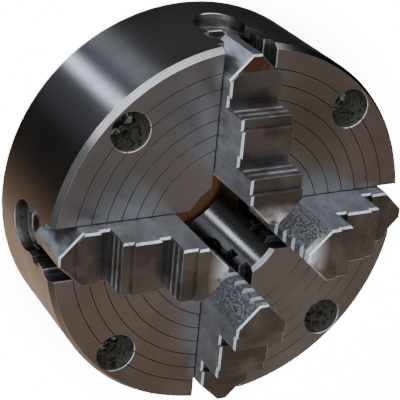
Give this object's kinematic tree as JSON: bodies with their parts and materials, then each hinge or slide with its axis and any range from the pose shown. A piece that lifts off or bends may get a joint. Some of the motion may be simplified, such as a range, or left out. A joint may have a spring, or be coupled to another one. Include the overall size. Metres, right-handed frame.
{
  "type": "lathe chuck",
  "caption": "Round independent lathe chuck with stepped reversible jaws, each moved in its own slot by a square-socket screw, around a plain through bore.",
  "frame": {"origin": "centre of the back face, which is the lowest plane of the part", "axes": "+Z along the spindle axis out of the front face; the jaws lie on +X, +Y, -X and -Y"},
  "size_m": [0.25, 0.25, 0.1375],
  "materials": {
    "body_steel": "turned and ground, oiled",
    "jaw_steel": "hardened and ground",
    "screw_steel": "machined, dark with oil",
    "block_steel": "machined",
    "black_oxide": "black oxide, oiled"
  },
  "bodies": {
    "chuck_body": {"chuck_body": "body_steel", "thrust_block_1": "block_steel", "thrust_block_2": "block_steel", "thrust_block_3": "block_steel", "thrust_block_4": "block_steel", "block_lock_screw_1": "black_oxide", "block_lock_screw_2": "black_oxide", "block_lock_screw_3": "black_oxide", "block_lock_screw_4": "black_oxide", "mounting_bolt_1": "black_oxide", "mounting_bolt_2": "black_oxide", "mounting_bolt_3": "black_oxide", "mounting_bolt_4": "black_oxide"},
    "jaw_1": {"jaw_1": "jaw_steel"},
    "jaw_screw_1": {"jaw_screw_1": "screw_steel"},
    "jaw_2": {"jaw_2": "jaw_steel"},
    "jaw_screw_2": {"jaw_screw_2": "screw_steel"},
    "jaw_3": {"jaw_3": "jaw_steel"},
    "jaw_screw_3": {"jaw_screw_3": "screw_steel"},
    "jaw_4": {"jaw_4": "jaw_steel"},
    "jaw_screw_4": {"jaw_screw_4": "screw_steel"}
  },
  "joints": [
    {"name": "jaw_screw_1_turn", "type": "hinge", "parent": "chuck_body", "child": "jaw_screw_1", "pos_m": [0.0775, 0, 0.043], "axis": [1, 0, 0], "range_deg": [-1048, 1984]},
    {"name": "jaw_1_slide", "type": "slide", "parent": "chuck_body", "child": "jaw_1", "axis": [1, 0, 0], "range_m": [-0.0232, 0.044]},
    {"name": "jaw_screw_2_turn", "type": "hinge", "parent": "chuck_body", "child": "jaw_screw_2", "pos_m": [0, 0.0775, 0.043], "axis": [0, 1, 0], "range_deg": [-1048, 1984]},
    {"name": "jaw_2_slide", "type": "slide", "parent": "chuck_body", "child": "jaw_2", "axis": [0, 1, 0], "range_m": [-0.0232, 0.044]},
    {"name": "jaw_screw_3_turn", "type": "hinge", "parent": "chuck_body", "child": "jaw_screw_3", "pos_m": [-0.0775, 0, 0.043], "axis": [-1, 0, 0], "range_deg": [-1048, 1984]},
    {"name": "jaw_3_slide", "type": "slide", "parent": "chuck_body", "child": "jaw_3", "axis": [-1, 0, 0], "range_m": [-0.0232, 0.044]},
    {"name": "jaw_screw_4_turn", "type": "hinge", "parent": "chuck_body", "child": "jaw_screw_4", "pos_m": [0, -0.0775, 0.043], "axis": [0, -1, 0], "range_deg": [-1048, 1984]},
    {"name": "jaw_4_slide", "type": "slide", "parent": "chuck_body", "child": "jaw_4", "axis": [0, -1, 0], "range_m": [-0.0232, 0.044]}
  ],
  "couplings": [
    {"joint": "jaw_screw_1_turn", "follows": "jaw_1_slide", "rad_per_m": 785.4},
    {"joint": "jaw_screw_2_turn", "follows": "jaw_2_slide", "rad_per_m": 785.4},
    {"joint": "jaw_screw_3_turn", "follows": "jaw_3_slide", "rad_per_m": 785.4},
    {"joint": "jaw_screw_4_turn", "follows": "jaw_4_slide", "rad_per_m": 785.4}
  ]
}
